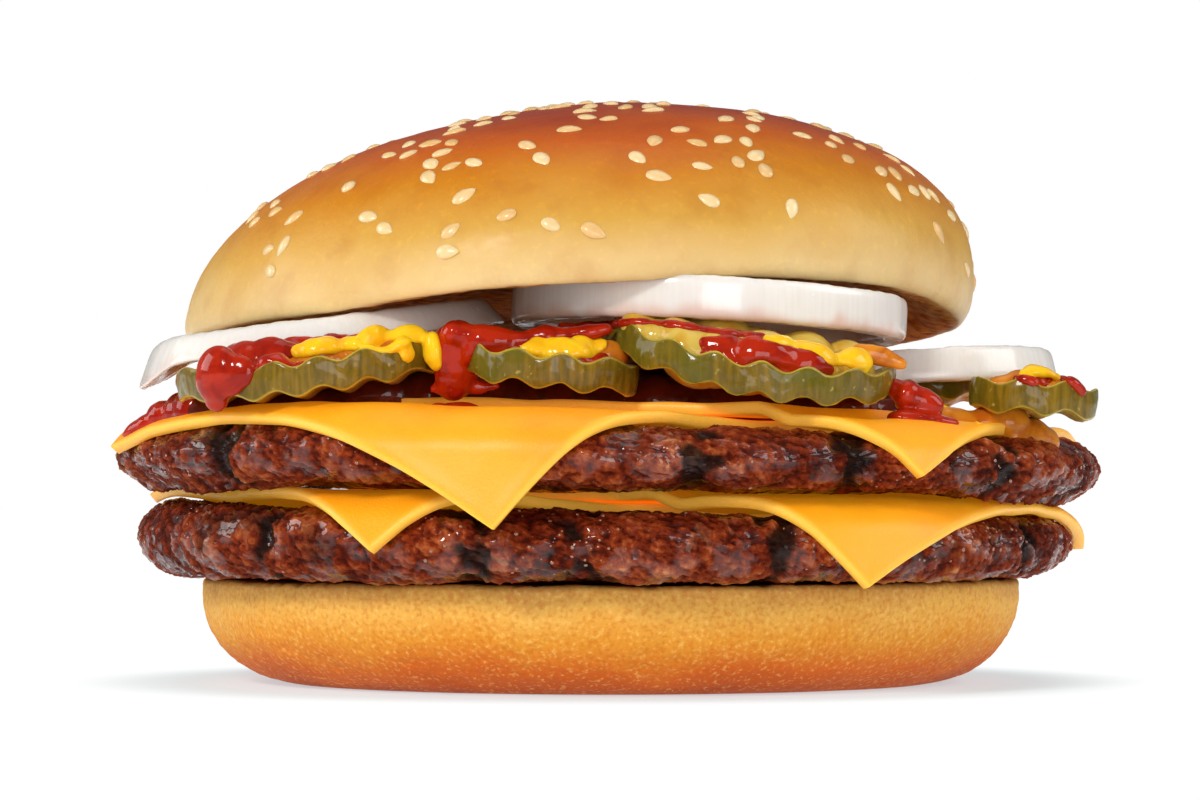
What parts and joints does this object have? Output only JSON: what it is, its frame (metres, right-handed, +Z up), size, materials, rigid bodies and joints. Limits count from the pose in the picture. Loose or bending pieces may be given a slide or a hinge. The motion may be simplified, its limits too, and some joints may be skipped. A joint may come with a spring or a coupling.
{
  "type": "double cheeseburger",
  "caption": "Double cheeseburger in a seeded bun, with melted cheese over both patties, pickle chips, raw onion rings, ketchup and mustard.",
  "frame": {"origin": "middle of the heel's flat underside, on the surface that the burger stands on", "axes": "+Z up; the front, where the cheese corners hang, faces -Y; +X is to the right as seen from the front"},
  "size_m": [0.1429, 0.1481, 0.0838],
  "materials": {
    "heel_crust": "matt baked bread crust, orange-brown, crumbly",
    "crown_crust": "glossy egg-washed bread crust, orange-brown on top and golden at the rim",
    "patty_meat": "charred minced beef, dark brown and moist",
    "cheese": "waxy melted processed cheese, yellow-orange",
    "pickle": "wet crinkle-cut gherkin, olive green",
    "onion": "wet raw onion, translucent white",
    "ketchup": "glossy ketchup, deep red",
    "mustard": "glossy mustard, bright yellow"
  },
  "bodies": {
    "root": {"heel": "heel_crust", "crown": "crown_crust", "patty_lower": "patty_meat", "patty_upper": "patty_meat", "cheese_lower_left": "cheese", "cheese_lower_right": "cheese", "cheese_upper_left": "cheese", "cheese_upper_right": "cheese", "pickle_middle": "pickle", "pickle_left": "pickle", "pickle_right": "pickle", "pickle_far_right": "pickle", "pickle_inner_left": "pickle", "pickle_inner_right": "pickle", "pickle_back_left": "pickle", "pickle_back_right": "pickle", "onion_right": "onion", "onion_left": "onion", "onion_front": "onion", "ketchup_left": "ketchup", "ketchup_middle": "ketchup", "ketchup_right": "ketchup", "ketchup_on_cheese": "ketchup", "ketchup_far_right": "ketchup", "mustard_left": "mustard", "mustard_middle_left": "mustard", "mustard_middle": "mustard", "mustard_right": "mustard", "mustard_on_cheese": "mustard", "mustard_far_right": "mustard"}
  },
  "joints": []
}
